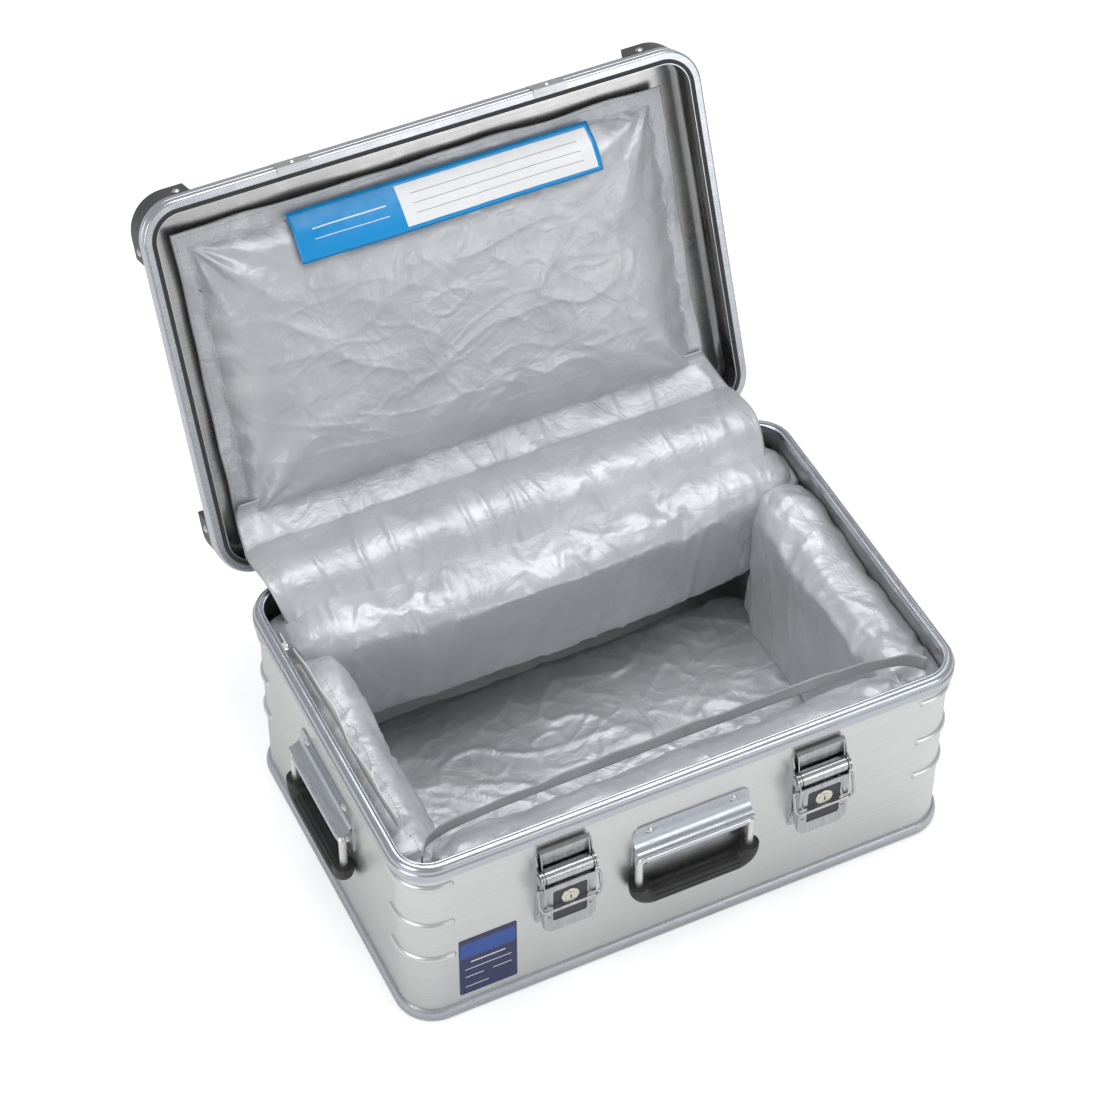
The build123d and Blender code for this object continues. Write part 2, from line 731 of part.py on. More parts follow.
def lid_label():
    """Plain coloured field sewn on the lid's cushion, near the front edge of the lid."""
    pad = lid_pillow()
    skin = Pos(0, 0, -0.7) * pad - Pos(0, 0, -0.2) * pad
    middle_y = -(wall_y - sheet - lid_pad_margin) + 48
    field = Pos(0, middle_y, lid_top - lid_pad_thick) * Box(lid_label_width, lid_label_height, 40)
    return skin & field


def front_hem():
    """Bound edge of the front pad, standing up along the mouth of the case."""
    back = -wall_y + sheet + pad_gap + 27
    strip = Pos(0, back, front_pad_top + seat_gap + hem_height / 2)
    return strip * Box(2 * front_pad_half - 60, sheet, hem_height)


def zip_tape():
    """Fastener tape along the left edge of the mouth."""
    x = -width / 2 + rim_width + 1.5
    strip = Pos(x, -10, side_pad_top + seat_gap + tape_height / 2)
    return strip * Box(sheet, 250, tape_height)


def zip_slider():
    """Slider of the zip fastener with its pull tab."""
    x = -width / 2 + rim_width + 1.5
    y = -10 + 125 + seat_gap + 6
    z = side_pad_top + seat_gap + tape_height / 2
    body = fillet((Pos(x + 1, y, z) * Box(4.4, 12, 8)).edges().filter_by(Axis.X), 2)
    tab = fillet((Pos(x + 4, y + 10, z) * Box(1.6, 22, 6)).edges().filter_by(Axis.X), 2.5)
    return body + tab


def front_label():
    """Plain coloured field on the front wall, left of the latches."""
    x = -wall_x + 49 + front_label_width / 2
    z = 26 + front_label_height / 2
    plate = Pos(x, -wall_y - 0.2, z) * Box(front_label_width, 0.4, front_label_height)
    return fillet(plate.edges().filter_by(Axis.Y), 2)


def opened(shape):
    """Turn a piece of the lid from shut to its open stop."""
    return shape.rotate(hinge_axis, -open_angle)


def solids_of(made):
    """The separate solids of one node, whatever made them."""
    items = made if isinstance(made, list) else [made]
    return [solid for item in items for solid in item.solids()]


def build_parts():
    """Every node of the case by name, in its place at rest."""
    parts = {
        "body_walls": body_walls(), "floor_pan": floor_pan(), "base_rim": base_rim(), "top_rim": top_rim(),
        "hinge_pins": hinge_pins(), "body_rivets": body_rivets(), "front_label": front_label(),
        "floor_pad": floor_pad(), "rear_pillow": rear_pillow(), "left_pillow": left_pillow(),
        "right_pillow": right_pillow(), "front_pillow": front_pillow(), "front_hem": front_hem(),
        "zip_tape": zip_tape(), "zip_slider": zip_slider()}
    lid = {
        "lid_shell": lid_shell(), "lid_rim": lid_rim(), "lid_gasket": lid_gasket(),
        "lid_pillow": lid_pillow(), "lid_label": lid_label(), "lid_rivets": lid_rivets()}
    sides = {"left": -1, "right": 1}
    for name, side in sides.items():
        parts["hinge_leaf_body_" + name] = hinge_leaf_body(side)
        lid["hinge_leaf_lid_" + name] = hinge_leaf_lid(side)
        lid["lid_catch_" + name] = catch_plate(side)
        for end, side_y in (("front", -1), ("rear", 1)):
            lid["stacking_corner_" + end + "_" + name] = stacking_corner(side, side_y)
        for piece in (latch_base, latch_pin, latch_hook, latch_lever, latch_insert, latch_bail, lock_barrel, lock_plug):
            parts[piece.__name__ + "_" + name] = piece(side)
    for wall in ("front", "left", "right"):
        parts[wall + "_handle_plate"] = on_wall(wall) * handle_plate()
        parts[wall + "_handle_rod"] = on_wall(wall) * handle_rod()
        parts[wall + "_handle_grip"] = on_wall(wall) * handle_grip()
    for name, made in lid.items():
        parts[name] = [opened(solid) for solid in solids_of(made)]
    return parts


os.makedirs("parts", exist_ok=True)
for node, made in build_parts().items():
    solids = solids_of(made)
    export_step(solids[0] if len(solids) == 1 else Compound(children=solids), "parts/" + node + ".step")
    print(node, len(solids), round(sum(solid.volume for solid in solids)))
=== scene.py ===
# %% [markdown]
# # A padded aluminium storage box
# The real object is a case of sheet aluminium: walls held in extruded frames, a lid on rear hinges, two lever
# latches, three drop handles and a thick padded liner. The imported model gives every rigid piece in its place.
# This lesson adds the finishes, turns the plain liner solids into sewn cushions, and lights the result.

# %% Load the fixed frame
import json
import math
import bmesh
import bpy
from mathutils import Matrix, Vector, noise
from mathutils.bvhtree import BVHTree


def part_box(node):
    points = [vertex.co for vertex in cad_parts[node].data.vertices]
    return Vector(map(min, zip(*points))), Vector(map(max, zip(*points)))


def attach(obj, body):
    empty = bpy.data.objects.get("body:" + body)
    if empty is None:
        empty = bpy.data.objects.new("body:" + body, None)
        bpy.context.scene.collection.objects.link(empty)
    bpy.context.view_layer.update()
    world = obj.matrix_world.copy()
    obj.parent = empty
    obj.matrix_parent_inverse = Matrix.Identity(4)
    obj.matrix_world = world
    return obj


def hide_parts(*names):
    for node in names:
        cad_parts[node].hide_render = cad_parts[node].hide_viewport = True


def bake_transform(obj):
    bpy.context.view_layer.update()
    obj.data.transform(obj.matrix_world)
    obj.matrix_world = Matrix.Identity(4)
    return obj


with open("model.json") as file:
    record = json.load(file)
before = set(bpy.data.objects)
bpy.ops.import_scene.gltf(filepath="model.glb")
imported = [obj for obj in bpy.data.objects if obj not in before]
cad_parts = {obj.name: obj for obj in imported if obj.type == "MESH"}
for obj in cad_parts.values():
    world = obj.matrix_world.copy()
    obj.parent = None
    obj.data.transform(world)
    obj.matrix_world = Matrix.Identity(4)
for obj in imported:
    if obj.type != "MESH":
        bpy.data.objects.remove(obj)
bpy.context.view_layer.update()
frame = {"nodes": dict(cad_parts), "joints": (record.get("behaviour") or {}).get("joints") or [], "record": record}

MM = 0.001
NODES = frame["nodes"]

# %% [markdown]
# ## Landmarks
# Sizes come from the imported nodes, so that nothing here has to be fitted twice. The lid's own directions are
# read from its hinge: at rest it stands open by the whole range of the hinge.

# %% Landmarks and the lid's directions
RIM_LOW, RIM_HIGH = [Vector(c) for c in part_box("top_rim")]
HALF_X = (RIM_HIGH.x - RIM_LOW.x) / 2
HALF_Y = (RIM_HIGH.y - RIM_LOW.y) / 2
MOUTH = RIM_HIGH.z
WALL = 6.8 * MM
LID_JOINT = next(j for j in frame["joints"] if j["name"] == "lid_hinge")
LID_ANGLE = math.radians(LID_JOINT["range_deg"][1])
HINGE = Vector(LID_JOINT["pos_m"])
LID_TURN = Matrix.Translation(HINGE) @ Matrix.Rotation(-LID_ANGLE, 4, "X") @ Matrix.Translation(-HINGE)


def lid_place(x, y, z):
    """A point given in the shut lid, where it stands with the lid open."""
    return LID_TURN @ Vector((x, y, z))


# %% [markdown]
# ## Small helpers
# A mesh made in code becomes an object, gets one material and rides on a body when one is given.

# %% Helpers for pieces
def smooth(obj):
    """Shade a piece smoothly."""
    for polygon in obj.data.polygons:
        polygon.use_smooth = True


def new_piece(name, verts, faces, material, body=None):
    """A mesh piece in the row's frame, with its material and the body that carries it."""
    mesh = bpy.data.meshes.new(name)
    mesh.from_pydata([tuple(v) for v in verts], [], faces)
    mesh.validate()
    mesh.update()
    obj = bpy.data.objects.new(name, mesh)
    bpy.context.scene.collection.objects.link(obj)
    mesh.materials.append(material)
    smooth(obj)
    if body:
        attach(obj, body)
    return obj


def outward(obj):
    """Merge doubles and turn every face outwards."""
    work = bmesh.new()
    work.from_mesh(obj.data)
    bmesh.ops.remove_doubles(work, verts=work.verts, dist=1e-6)
    bmesh.ops.recalc_face_normals(work, faces=work.faces)
    work.to_mesh(obj.data)
    work.free()


def closed_grid(count_u, count_v):
    """Faces of two stacked grids joined round their border: first the front grid, then the back one."""
    row = count_u + 1
    block = row * (count_v + 1)
    faces = []
    for j in range(count_v):
        for i in range(count_u):
            a = j * row + i
            faces.append((a, a + row, a + row + 1, a + 1))
            faces.append((block + a, block + a + 1, block + a + row + 1, block + a + row))
    border = list(range(row)) + [j * row + count_u for j in range(1, count_v + 1)]
    border += [count_v * row + i for i in range(count_u - 1, -1, -1)]
    border += [j * row for j in range(count_v - 1, 0, -1)]
    for a, b in zip(border, border[1:] + border[:1]):
        faces.append((a, b, block + b, block + a))
    return faces


def through(points, share):
    """A point on a smooth curve through points, for a share of the way from 0 to 1."""
    place = share * (len(points) - 1)
    index = min(int(place), len(points) - 2)
    t = place - index
    a, b = Vector(points[max(index - 1, 0)]), Vector(points[index])
    c, d = Vector(points[index + 1]), Vector(points[min(index + 2, len(points) - 1)])
    return 0.5 * (2 * b + (c - a) * t + (2 * a - 5 * b + 4 * c - d) * t ** 2 + (3 * b - a - 3 * c + d) * t ** 3)


# %% [markdown]
# ## Shader groups
# Brushed metal, scuffs and woven cloth turn up in many materials. Each is a node group with named sockets,
# built once, which only puts out colours, values and normals.

# %% A small kit for node trees
def add(tree, kind, **values):
    """A node with its plain properties set."""
    node = tree.nodes.new(kind)
    for key, value in values.items():
        setattr(node, key, value)
    return node


def wire(tree, start, end):
    """Join two sockets."""
    tree.links.new(start, end)


def new_group(name, inputs, outputs):
    """An empty shader group with its sockets: inputs are (name, kind, default)."""
    group = bpy.data.node_groups.new(name, "ShaderNodeTree")
    for label, kind, default in inputs:
        socket = group.interface.new_socket(label, in_out="INPUT", socket_type=kind)
        socket.default_value = default
    for label, kind in outputs:
        group.interface.new_socket(label, in_out="OUTPUT", socket_type=kind)
    return group, add(group, "NodeGroupInput"), add(group, "NodeGroupOutput")


def math_node(tree, operation, first, second):
    """A math node over sockets or plain numbers."""
    node = add(tree, "ShaderNodeMath", operation=operation)
    for index, value in enumerate((first, second)):
        if isinstance(value, (int, float)):
            node.inputs[index].default_value = value
        else:
            wire(tree, value, node.inputs[index])
    return node.outputs[0]


def noise_value(tree, vector, scale, detail=3.0, rough=0.55, warp=0.0):
    """A noise texture's value."""
    node = add(tree, "ShaderNodeTexNoise")
    node.inputs["Scale"].default_value = scale
    node.inputs["Detail"].default_value = detail
    node.inputs["Roughness"].default_value = rough
    node.inputs["Distortion"].default_value = warp
    wire(tree, vector, node.inputs["Vector"])
    return node.outputs["Fac"]


def spread(tree, value, low, high, start=0.3, end=0.7):
    """Map a value from start..end to low..high, clamped; low and high are numbers or sockets."""
    node = add(tree, "ShaderNodeMapRange")
    node.inputs["From Min"].default_value = start
    node.inputs["From Max"].default_value = end
    for label, limit in (("To Min", low), ("To Max", high)):
        if isinstance(limit, (int, float)):
            node.inputs[label].default_value = limit
        else:
            wire(tree, limit, node.inputs[label])
    wire(tree, value, node.inputs["Value"])
    return node.outputs["Result"]


def bump(tree, height, strength, distance, normal=None):
    """A bump node over a height."""
    node = add(tree, "ShaderNodeBump")
    node.inputs["Strength"].default_value = strength
    node.inputs["Distance"].default_value = distance
    wire(tree, height, node.inputs["Height"])
    if normal is not None:
        wire(tree, normal, node.inputs["Normal"])
    return node.outputs["Normal"]


def mix_colour(tree, factor, first, second):
    """Blend two colours, given as sockets or triples."""
    node = add(tree, "ShaderNodeMix", data_type="RGBA")
    wire(tree, factor, node.inputs[0])
    for index, value in ((6, first), (7, second)):
        if isinstance(value, tuple):
            node.inputs[index].default_value = (*value, 1)
        else:
            wire(tree, value, node.inputs[index])
    return node.outputs[2]


# %% Brushed and rolled metal
def metal_group():
    """Rolled or drawn metal: fine lines along one axis, soft clouds and a few scuffs."""
    inputs = [("Tone", "NodeSocketColor", (0.8, 0.8, 0.8, 1)), ("Deep", "NodeSocketColor", (0.7, 0.7, 0.7, 1)),
              ("Lines", "NodeSocketVector", (1, 1, 1)), ("Gloss", "NodeSocketFloat", 0.3),
              ("Dull", "NodeSocketFloat", 0.45)]
    outputs = [("Color", "NodeSocketColor"), ("Roughness", "NodeSocketFloat"), ("Normal", "NodeSocketVector")]
    group, given, out = new_group("metal finish", inputs, outputs)
    coords = add(group, "ShaderNodeTexCoord").outputs["Object"]
    stretch = add(group, "ShaderNodeVectorMath", operation="MULTIPLY")
    wire(group, coords, stretch.inputs[0])
    wire(group, given.outputs["Lines"], stretch.inputs[1])
    lines = noise_value(group, stretch.outputs[0], 1.0, 4.0, 0.7)
    clouds = noise_value(group, coords, 9.0, 3.0)
    scuffs = noise_value(group, coords, 46.0, 8.0, 0.75)
    tone = mix_colour(group, spread(group, lines, 0.0, 1.0, 0.35, 0.65), given.outputs["Deep"], given.outputs["Tone"])
    wire(group, tone, out.inputs["Color"])
    wear = math_node(group, "ADD", math_node(group, "MULTIPLY", scuffs, 0.5), math_node(group, "MULTIPLY", clouds, 0.5))
    rough = spread(group, wear, given.outputs["Gloss"], given.outputs["Dull"], 0.35, 0.65)
    wire(group, rough, out.inputs["Roughness"])
    waves = bump(group, clouds, 0.16, 0.004)
    wire(group, bump(group, lines, 0.05, 0.0003, waves), out.inputs["Normal"])
    return group


# %% Coated cloth
def cloth_group():
    """Coated cloth: a fine square weave, sharp crinkles over soft ones and slight changes of tone."""
    inputs = [("Tone", "NodeSocketColor", (0.7, 0.7, 0.7, 1)), ("Deep", "NodeSocketColor", (0.6, 0.6, 0.6, 1)),
              ("Threads", "NodeSocketFloat", 1400.0), ("Creases", "NodeSocketFloat", 1.0)]
    outputs = [("Color", "NodeSocketColor"), ("Roughness", "NodeSocketFloat"), ("Normal", "NodeSocketVector")]
    group, given, out = new_group("coated cloth", inputs, outputs)
    coords = add(group, "ShaderNodeTexCoord").outputs["Object"]
    scaled = add(group, "ShaderNodeVectorMath", operation="SCALE")
    wire(group, coords, scaled.inputs[0])
    wire(group, given.outputs["Threads"], scaled.inputs["Scale"])
    axes = add(group, "ShaderNodeSeparateXYZ")
    wire(group, scaled.outputs[0], axes.inputs[0])
    waves = [math_node(group, "SINE", axes.outputs[axis], 0.0) for axis in range(3)]
    weave = math_node(group, "ADD", math_node(group, "ADD", waves[0], waves[1]), waves[2])
    soft = noise_value(group, coords, 14.0, 3.0, 0.55, 0.6)
    fine = noise_value(group, coords, 60.0, 5.0, 0.6)
    sharp = noise_value(group, coords, 22.0, 4.0, 0.5, 1.1)
    ridge = math_node(group, "ABSOLUTE", math_node(group, "SUBTRACT", sharp, 0.5), 0.0)
    tone = mix_colour(group, spread(group, soft, 0.0, 1.0), given.outputs["Deep"], given.outputs["Tone"])
    wire(group, tone, out.inputs["Color"])
    wire(group, spread(group, fine, 0.34, 0.5), out.inputs["Roughness"])
    folds = bump(group, math_node(group, "MULTIPLY", soft, given.outputs["Creases"]), 0.4, 0.008)
    crinkles = bump(group, math_node(group, "MULTIPLY", ridge, given.outputs["Creases"]), 0.3, 0.008, folds)
    ripples = bump(group, fine, 0.2, 0.001, crinkles)
    wire(group, bump(group, weave, 0.08, 0.0001, ripples), out.inputs["Normal"])
    return group


METAL = metal_group()
CLOTH = cloth_group()


# %% Materials from the groups
def blank(name):
    """A new material with its Principled shader."""
    material = bpy.data.materials.new(name)
    material.use_nodes = True
    return material, material.node_tree, material.node_tree.nodes["Principled BSDF"]


def fill(node, tone, deep):
    """Set a group's two colours."""
    node.inputs["Tone"].default_value = (*tone, 1)
    node.inputs["Deep"].default_value = (*deep, 1)


def plug(tree, node, shader):
    """Lead a group's outputs to the shader."""
    for socket, target in (("Color", "Base Color"), ("Roughness", "Roughness"), ("Normal", "Normal")):
        wire(tree, node.outputs[socket], shader.inputs[target])


def metal(name, tone, deep, lines, gloss, dull):
    """A metal material; lines stretches the drawn lines along the axis with the small value."""
    material, tree, shader = blank(name)
    node = add(tree, "ShaderNodeGroup", node_tree=METAL)
    fill(node, tone, deep)
    node.inputs["Lines"].default_value = lines
    node.inputs["Gloss"].default_value = gloss
    node.inputs["Dull"].default_value = dull
    shader.inputs["Metallic"].default_value = 1.0
    plug(tree, node, shader)
    return material


def cloth(name, tone, deep, threads=1400.0, creases=1.0, sheen=0.2, metallic=0.0):
    """A cloth material with a soft sheen."""
    material, tree, shader = blank(name)
    node = add(tree, "ShaderNodeGroup", node_tree=CLOTH)
    fill(node, tone, deep)
    node.inputs["Threads"].default_value = threads
    node.inputs["Creases"].default_value = creases
    shader.inputs["Sheen Weight"].default_value = sheen
    shader.inputs["Metallic"].default_value = metallic
    plug(tree, node, shader)
    return material


def moulded(name, tone, light, grain=900.0, gloss=0.42):
    """Moulded plastic or rubber with a fine grain and slightly polished patches."""
    material, tree, shader = blank(name)
    coords = add(tree, "ShaderNodeTexCoord").outputs["Object"]
    fine = noise_value(tree, coords, grain, 2.0)
    wide = noise_value(tree, coords, 30.0, 3.0)
    wire(tree, mix_colour(tree, spread(tree, wide, 0.0, 1.0), tone, light), shader.inputs["Base Color"])
    wire(tree, spread(tree, wide, gloss - 0.06, gloss + 0.1), shader.inputs["Roughness"])
    wire(tree, bump(tree, fine, 0.12, 0.0002), shader.inputs["Normal"])
    return material


# %% [markdown]
# ## Finishes of the rigid pieces
# The walls are rolled sheet with a soft gloss, the frames are drawn profiles, and the
# latches are polished pressings. The record names a slot for each node, and each slot gets one finish.

# %% One finish for each slot
FINISHES = {
    "wall_aluminium": metal("wall sheet", (0.73, 0.735, 0.725), (0.67, 0.675, 0.67), (3, 3, 900), 0.3, 0.42),
    # The lid sheet is the walls' aluminium: its darker tone and deep colour are painted shade.
    "lid_aluminium": metal("lid sheet with painted shade", (0.5, 0.495, 0.485), (0.42, 0.415, 0.41), (5, 600, 600), 0.22, 0.36),
    "frame_aluminium": metal("drawn frame", (0.6, 0.615, 0.65), (0.46, 0.48, 0.52), (30, 30, 1600), 0.2, 0.34),
    "hinge_steel": metal("zinc pressing", (0.6, 0.61, 0.63), (0.5, 0.51, 0.53), (60, 60, 400), 0.28, 0.42),
    "latch_steel": metal("polished pressing", (0.56, 0.56, 0.565), (0.42, 0.42, 0.43), (500, 500, 30), 0.14, 0.3),
    "rivet_steel": metal("bright rivet", (0.7, 0.7, 0.69), (0.55, 0.55, 0.54), (200, 200, 200), 0.16, 0.3),
    "rod_steel": metal("plated rod", (0.82, 0.82, 0.8), (0.72, 0.72, 0.7), (300, 300, 30), 0.32, 0.46),
    "lock_nickel": metal("nickel lock", (0.78, 0.75, 0.66), (0.64, 0.6, 0.5), (400, 400, 400), 0.2, 0.34),
    "zip_metal": metal("cast slider", (0.75, 0.75, 0.75), (0.6, 0.6, 0.6), (300, 300, 300), 0.26, 0.4),
    "corner_plastic": moulded("stacking corner", (0.022, 0.022, 0.024), (0.04, 0.04, 0.044)),
    "grip_plastic": moulded("grip", (0.016, 0.016, 0.016), (0.03, 0.03, 0.03), 700.0, 0.5),
    "insert_plastic": moulded("insert", (0.025, 0.027, 0.034), (0.045, 0.048, 0.06)),
    "seal_rubber": moulded("seal", (0.02, 0.02, 0.02), (0.035, 0.035, 0.035), 500.0, 0.6),
    "liner_fabric": cloth("liner cloth", (0.56, 0.57, 0.59), (0.47, 0.48, 0.505), metallic=0.35),
    # The hem is the liner's own cloth: its darker tone is painted shade on the standing band.
    "hem_fabric": cloth("hem cloth with painted shade", (0.42, 0.42, 0.43), (0.34, 0.34, 0.35), metallic=0.2),
    "tape_fabric": cloth("zip tape", (0.8, 0.8, 0.8), (0.7, 0.7, 0.7), 2600.0, 0.2),
}
LINER = FINISHES["liner_fabric"]
THREAD = cloth("sewing thread", (0.74, 0.74, 0.75), (0.64, 0.64, 0.65), 5000.0, 0.0)


# %% [markdown]
# ## Plain label fields
# Two fields carry printing on the real object. Here they hold plain colour fields and ruled lines, drawn by
# comparing coordinates with named edges, so no picture is needed.

# %% Ruled colour fields
def inside(tree, value, low, high):
    """1 where value lies between low and high, otherwise 0."""
    node = add(tree, "ShaderNodeMath", operation="COMPARE")
    wire(tree, value, node.inputs[0])
    node.inputs[1].default_value = (low + high) / 2
    node.inputs[2].default_value = abs(high - low) / 2
    return node.outputs[0]


def painted_field(name, ground, fields, frame_map=None):
    """Film with rectangles ((x low, x high, y low, y high), colour) laid over its ground, in UV or mapped x and z."""
    material, tree, shader = blank(name)
    texture = add(tree, "ShaderNodeTexCoord")
    axes = add(tree, "ShaderNodeSeparateXYZ")
    if frame_map is None:
        wire(tree, texture.outputs["UV"], axes.inputs[0])
        across, upward = axes.outputs[0], axes.outputs[1]
    else:
        mapping = add(tree, "ShaderNodeMapping", vector_type="POINT")
        mapping.inputs["Location"].default_value = frame_map[0]
        mapping.inputs["Scale"].default_value = frame_map[1]
        wire(tree, texture.outputs["Object"], mapping.inputs["Vector"])
        wire(tree, mapping.outputs["Vector"], axes.inputs[0])
        across, upward = axes.outputs[0], axes.outputs[2]
    colour = ground
    for (x0, x1, y0, y1), tint in fields:
        mask = math_node(tree, "MULTIPLY", inside(tree, across, x0, x1), inside(tree, upward, y0, y1))
        colour = mix_colour(tree, mask, colour, tint)
    wire(tree, colour, shader.inputs["Base Color"])
    wear = noise_value(tree, texture.outputs["Object"], 80.0, 3.0)
    wire(tree, spread(tree, wear, 0.26, 0.4), shader.inputs["Roughness"])
    wire(tree, bump(tree, wear, 0.05, 0.0004), shader.inputs["Normal"])
    return material


NAVY = (0.022, 0.024, 0.1)
BLUE = (0.0, 0.262, 0.62)
PALE = (0.78, 0.8, 0.84)
LABEL_LOW, LABEL_HIGH = [Vector(c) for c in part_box("front_label")]
LABEL_W = LABEL_HIGH.x - LABEL_LOW.x
LABEL_H = LABEL_HIGH.z - LABEL_LOW.z
LABEL_MAP = ((-LABEL_LOW.x / LABEL_W, 0, -LABEL_LOW.z / LABEL_H), (1 / LABEL_W, 1, 1 / LABEL_H))
FINISHES["front_label_film"] = painted_field("front label field", NAVY, [
    ((0.02, 0.98, 0.66, 0.92), (0.02, 0.075, 0.33)), ((0.2, 0.8, 0.555, 0.575), PALE),
    ((0.1, 0.9, 0.44, 0.452), PALE), ((0.1, 0.42, 0.3, 0.312), PALE), ((0.58, 0.9, 0.3, 0.312), PALE),
    ((0.1, 0.5, 0.12, 0.132), PALE)], LABEL_MAP)


# %% Give every node its finish
SLOTS = {entry["node"]: entry["material_slot"] for entry in frame["record"]["subparts"]}
for node_name, node_object in NODES.items():
    finish = FINISHES.get(SLOTS[node_name])
    if finish:
        for material_slot in node_object.material_slots:
            material_slot.material = finish
print("finishes", len(FINISHES))

# %% [markdown]
# ## Cushions
# The liner is a set of cloth covers filled with loose granulate, so the cushions are full, crowned and
# creased where the seams gather. Each starts as a rounded block a little smaller than its place, is remeshed to
# an even grid, and is blown up by the cloth solver. Points that move too far are held back, and the walls of the
# case press it flat where it leans on them.

# %% A cushion's first form
def rounded_block(name, centre, half, power, shape=None):
    """A closed block whose corners are rounded by a power norm; shape moves its points, given from -1 to 1."""
    work = bmesh.new()
    bmesh.ops.create_cube(work, size=2)
    bmesh.ops.subdivide_edges(work, edges=work.edges[:], cuts=27, use_grid_fill=True)
    for vertex in work.verts:
        length = sum(abs(c) ** power for c in vertex.co) ** (1 / power)
        unit = vertex.co / length
        place = Vector(unit[axis] * half[axis] for axis in range(3))
        if shape:
            place = shape(unit, place)
        vertex.co = Vector(centre) + place
    mesh = bpy.data.meshes.new(name)
    bmesh.ops.recalc_face_normals(work, faces=work.faces)
    work.to_mesh(mesh)
    work.free()
    obj = bpy.data.objects.new(name, mesh)
    bpy.context.scene.collection.objects.link(obj)
    mesh.materials.append(LINER)
    return obj


def apply_modifiers(obj):
    """Turn the evaluated object into its plain mesh."""
    graph = bpy.context.evaluated_depsgraph_get()
    result = bpy.data.meshes.new_from_object(obj.evaluated_get(graph))
    obj.modifiers.clear()
    old = obj.data
    obj.data = result
    bpy.data.meshes.remove(old)


def remesh(obj, voxel):
    """An even grid of faces over a closed form."""
    modifier = obj.modifiers.new("grid", "REMESH")
    modifier.mode = "VOXEL"
    modifier.voxel_size = voxel
    apply_modifiers(obj)


def swell(obj, pressure, cap, frames=18, shrink=-0.06):
    """Blow a cushion up with the cloth solver; no point moves further than cap."""
    start = [vertex.co.copy() for vertex in obj.data.vertices]
    modifier = obj.modifiers.new("cloth", "CLOTH")
    settings = modifier.settings
    settings.quality = 5
    settings.mass = 0.25
    settings.tension_stiffness = 12
    settings.compression_stiffness = 12
    settings.shear_stiffness = 4
    settings.bending_stiffness = 0.4
    settings.use_pressure = True
    settings.uniform_pressure_force = pressure
    settings.shrink_min = shrink
    settings.effector_weights.gravity = 0
    modifier.collision_settings.use_collision = False
    modifier.point_cache.frame_start = 1
    modifier.point_cache.frame_end = frames
    for step in range(1, frames + 1):
        bpy.context.scene.frame_set(step)
    apply_modifiers(obj)
    bpy.context.scene.frame_set(1)
    for index, vertex in enumerate(obj.data.vertices):
        moved = vertex.co - start[index]
        if moved.length > cap:
            vertex.co = start[index] + moved.normalized() * cap


def subdivide(obj, levels=1):
    """Finer faces by subdivision."""
    modifier = obj.modifiers.new("finer", "SUBSURF")
    modifier.levels = levels
    modifier.render_levels = levels
    apply_modifiers(obj)


INNER_X = HALF_X - WALL
INNER_Y = HALF_Y - WALL
RIM_INNER_X = HALF_X - 17.6 * MM
RIM_INNER_Y = HALF_Y - 17.6 * MM
RIM_UNDER = 222.5 * MM


def press(point):
    """Hold a point inside the case: within the walls, and within the rim's opening higher up."""
    high = point.z > RIM_UNDER
    limit_x = RIM_INNER_X if high else INNER_X
    limit_y = RIM_INNER_Y if high else INNER_Y
    return Vector((min(max(point.x, -limit_x), limit_x), min(max(point.y, -limit_y), limit_y), max(point.z, 2 * MM)))


def fold(point, scale, seed, sharp):
    """Thin smooth folds with wide soft ground between them, from 0 to 1."""
    warp = noise.noise_vector(point * scale * 0.6 + Vector((seed, -seed, 2 * seed))) * 0.55
    value = noise.noise(point * scale + warp + Vector((seed, 2.3 * seed, -seed)))
    return max(0.0, 1 - abs(value) * 2.4) ** sharp


def add_creases(obj, depth, seed, along):
    """Move points along their normals by soft dents and by ridged folds stretched along one direction."""
    obj.data.update()
    normals = [vertex.normal.copy() for vertex in obj.data.vertices]
    for vertex, normal in zip(obj.data.vertices, normals):
        point = Vector(vertex.co[axis] * along[axis] for axis in range(3))
        soft = noise.noise(point * 9 + Vector((seed, seed, 0)))
        amount = 1.3 * soft + 0.75 * fold(point, 12.0, seed, 5) + 0.4 * fold(point, 26.0, seed + 5, 6)
        vertex.co = press(vertex.co + normal * depth * amount)


def cushion(node, name, form, cap, voxel, depth, seed, along):
    """A finished cushion in the place of a CAD solid, from its first form (centre, half sizes, power, shape)."""
    obj = rounded_block(name, *form)
    remesh(obj, voxel)
    swell(obj, 4.0, cap)
    subdivide(obj)
    add_creases(obj, depth, seed, along)
    smooth(obj)
    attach(obj, "case")
    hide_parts(node)
    print(name, len(obj.data.polygons), "faces")
    return obj


# %% The body's cushions
def rear_form(unit, place):
    """The rear roll is thickest in its middle and hangs over the floor."""
    belly = 1 + 0.24 * (1 - unit.x ** 2) if unit.y < 0 else 1
    return Vector((place.x, place.y * belly, place.z))


def side_form(side):
    """A side cushion is thicker at its foot, where the filling settles, and towards the rear."""
    def shape(unit, place):
        settle = 1 + 0.22 * max(0.0, -unit.z) + 0.1 * unit.y
        inward = unit.x * side < 0
        return Vector((place.x * (settle if inward else 1), place.y, place.z))
    return shape


def front_form(unit, place):
    """The front cushion's top slopes down towards the inside."""
    drop = 9 * MM * max(0.0, unit.y + 0.2) * max(0.0, unit.z)
    return Vector((place.x, place.y, place.z - drop))


